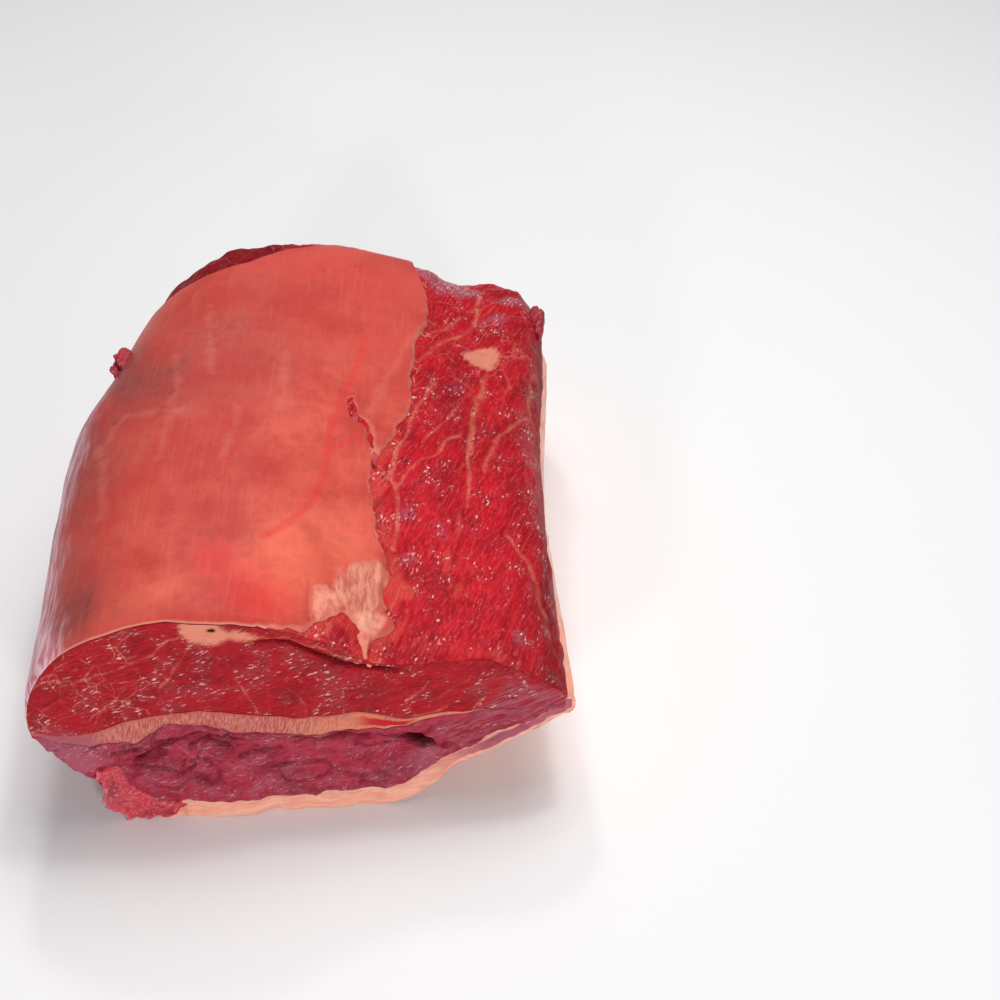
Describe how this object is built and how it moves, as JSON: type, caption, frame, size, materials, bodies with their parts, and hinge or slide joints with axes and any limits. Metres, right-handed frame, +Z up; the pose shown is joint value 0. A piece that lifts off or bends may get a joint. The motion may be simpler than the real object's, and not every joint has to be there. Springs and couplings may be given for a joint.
{
  "type": "raw beef shoulder clod half",
  "caption": "Half of a boneless raw beef shoulder clod as cut, with a smooth fat cap on top, a gristle seam through the muscle and a layer of fat underneath.",
  "frame": {"origin": "bottom centre of the piece, on the surface that it lies on", "axes": "+Z up, -Y out of the knife cut, +Y towards the rounded back end, +X to the right when the cut is faced"},
  "size_m": [0.2098, 0.2594, 0.1146],
  "materials": {
    "bright_muscle": "wet cut and trimmed raw beef muscle, bright red with pale marbling",
    "dark_muscle": "moist raw beef muscle, purple-red with a grey bloom",
    "gristle": "moist beige gristle with fine cross fibres",
    "cap_fat": "smooth moist membrane over thin fat, orange-pink",
    "soft_fat": "moist firm beef fat, pale peach"
  },
  "bodies": {
    "root": {"upper_muscle": "bright_muscle", "lower_muscle": "dark_muscle", "gristle_seam": "gristle", "fat_cap": "cap_fat", "bottom_fat": "soft_fat"}
  },
  "joints": []
}
